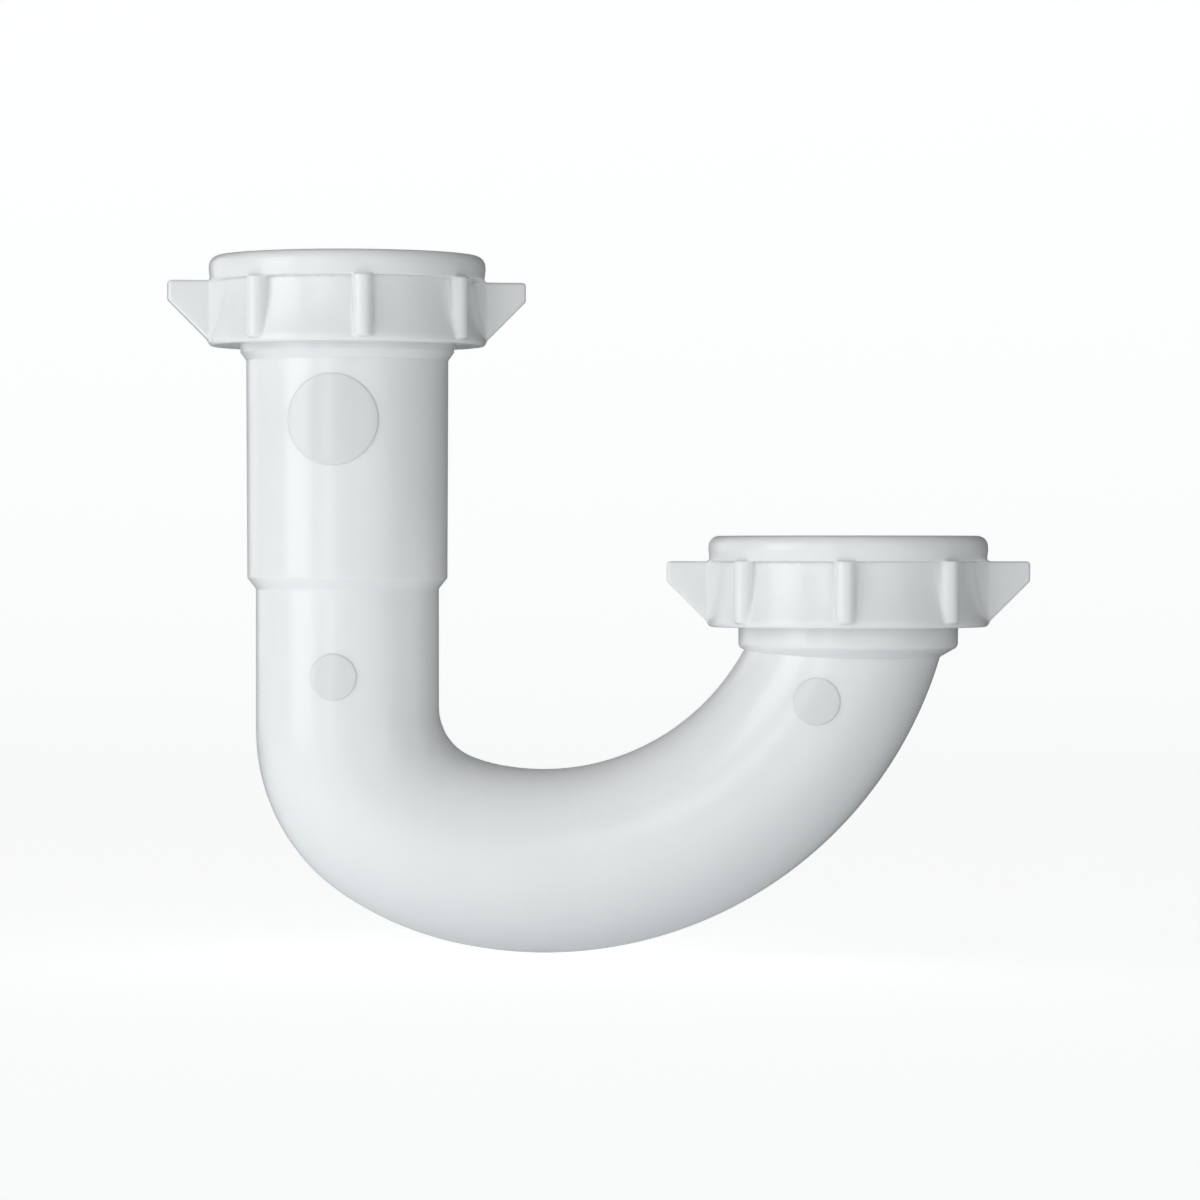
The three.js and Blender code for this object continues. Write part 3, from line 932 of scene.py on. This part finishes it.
def from_centre(centre, azimuth, elevation, distance):
    """A point seen from the centre at that azimuth, counted from -Y towards +X."""
    return centre + distance * Vector(
        (
            math.sin(azimuth) * math.cos(elevation),
            -math.cos(azimuth) * math.cos(elevation),
            math.sin(elevation),
        )
    )


def aim(thing, target):
    thing.rotation_euler = (target - thing.location).to_track_quat("-Z", "Y").to_euler()


def camera():
    data = bpy.data.cameras.new("camera")
    data.sensor_width = SENSOR_WIDTH
    data.lens = SENSOR_WIDTH * CAMERA_DISTANCE / FRAME_WIDTH
    data.clip_start = 0.01
    view = bpy.data.objects.new("camera", data)
    bpy.context.scene.collection.objects.link(view)
    view.location = from_centre(LOOK_AT, CAMERA_AZIMUTH, CAMERA_ELEVATION, CAMERA_DISTANCE)
    aim(view, LOOK_AT)
    bpy.context.scene.camera = view


def softbox(name, azimuth, elevation, distance, width, height, power, shines):
    """An area light on the pieces alone, never seen itself. One without shine leaves no highlights."""
    data = bpy.data.lights.new(name, "AREA")
    data.shape = "RECTANGLE"
    data.size, data.size_y = width, height
    data.energy = power
    light = bpy.data.objects.new(name, data)
    light.visible_camera = False
    light.visible_glossy = shines
    light.light_linking.receiver_collection = LIT_PIECES
    bpy.context.scene.collection.objects.link(light)
    around = CAMERA_AZIMUTH + math.radians(azimuth)
    light.location = from_centre(LOOK_AT, around, math.radians(elevation), distance)
    aim(light, LOOK_AT)


def sky():
    """A cool surround that is brightest near the camera's side and almost dark behind."""
    world = bpy.data.worlds.new("studio")
    bpy.context.scene.world = world
    world.use_nodes = True
    tree = world.node_tree
    background = tree.nodes["Background"]
    direction = tree.nodes.new("ShaderNodeTexCoord").outputs["Generated"]
    facing = tree.nodes.new("ShaderNodeVectorMath")
    facing.operation = "DOT_PRODUCT"
    facing.inputs[1].default_value = from_centre(Vector(), CAMERA_AZIMUTH + BRIGHT_SIDE, 0, 1)
    ramp = tree.nodes.new("ShaderNodeMapRange")
    ramp.inputs["From Min"].default_value = -1
    ramp.inputs["To Min"].default_value = SKY_BEHIND
    ramp.inputs["To Max"].default_value = SKY_IN_FRONT
    background.inputs["Color"].default_value = SKY_LIGHT
    tree.links.new(direction, facing.inputs[0])
    tree.links.new(facing.outputs["Value"], ramp.inputs["Value"])
    tree.links.new(ramp.outputs["Result"], background.inputs["Strength"])


def cyclorama():
    """A pale floor that curves up into a backdrop behind the object."""
    profile = [(FLOOR_FRONT, 0.0)]
    for turn in np.linspace(0, math.pi / 2, BACKDROP_STEPS + 1):
        y = BACKDROP_Y - BACKDROP_BEND + BACKDROP_BEND * math.sin(turn)
        profile.append((y, BACKDROP_BEND - BACKDROP_BEND * math.cos(turn)))
    profile.append((BACKDROP_Y, BACKDROP_HEIGHT))
    points = [(x, y, z) for y, z in profile for x in (-FLOOR_HALF_WIDTH, FLOOR_HALF_WIDTH)]
    faces = [(2 * i, 2 * i + 1, 2 * i + 3, 2 * i + 2) for i in range(len(profile) - 1)]
    floor = new_object("studio_floor", np.array(points) / MM, faces)
    floor.data.shade_smooth()
    floor.data.materials.append(pale_floor())


# ---------------------------------------------------------------- assembly


def place(piece, node, body, slot, material):
    LIT_PIECES.objects.link(piece)
    piece.data.materials.clear()
    piece.data.materials.append(material)
    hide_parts(node)
    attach(piece, body)


bend_plastic = moulded_plastic("bend_polypropylene", (0.86, 0.865, 0.862), 0.235, 0.25)
nut_plastic = moulded_plastic("nut_polypropylene", (0.85, 0.855, 0.852), 0.24, 0.25)
washer_plastic = moulded_plastic("washer_polyethylene", (0.78, 0.79, 0.775), 0.42, 0.5)

place(trap_bend(), "trap_bend", "bend", "bend_plastic", bend_plastic)

nut = nut_surface()
for end, axis_x, foot, rim, clocking in (
    ("inlet", INLET_X, INLET_FOOT, INLET_RIM, INLET_CLOCKING),
    ("outlet", OUTLET_X, OUTLET_FOOT, OUTLET_RIM, OUTLET_CLOCKING),
):
    fine_nut = slip_nut(f"{end}_nut_moulding", nut, axis_x, foot, clocking)
    place(fine_nut, f"{end}_slip_nut", f"{end}_nut", "nut_plastic", nut_plastic)
    fine_washer = slip_washer(f"{end}_washer_ring", axis_x, rim)
    place(fine_washer, f"{end}_slip_washer", f"{end}_washer", "washer_plastic", washer_plastic)

camera()
sky()
cyclorama()
for settings in SOFTBOXES:
    softbox(*settings)
bpy.context.scene.view_settings.view_transform = "Standard"
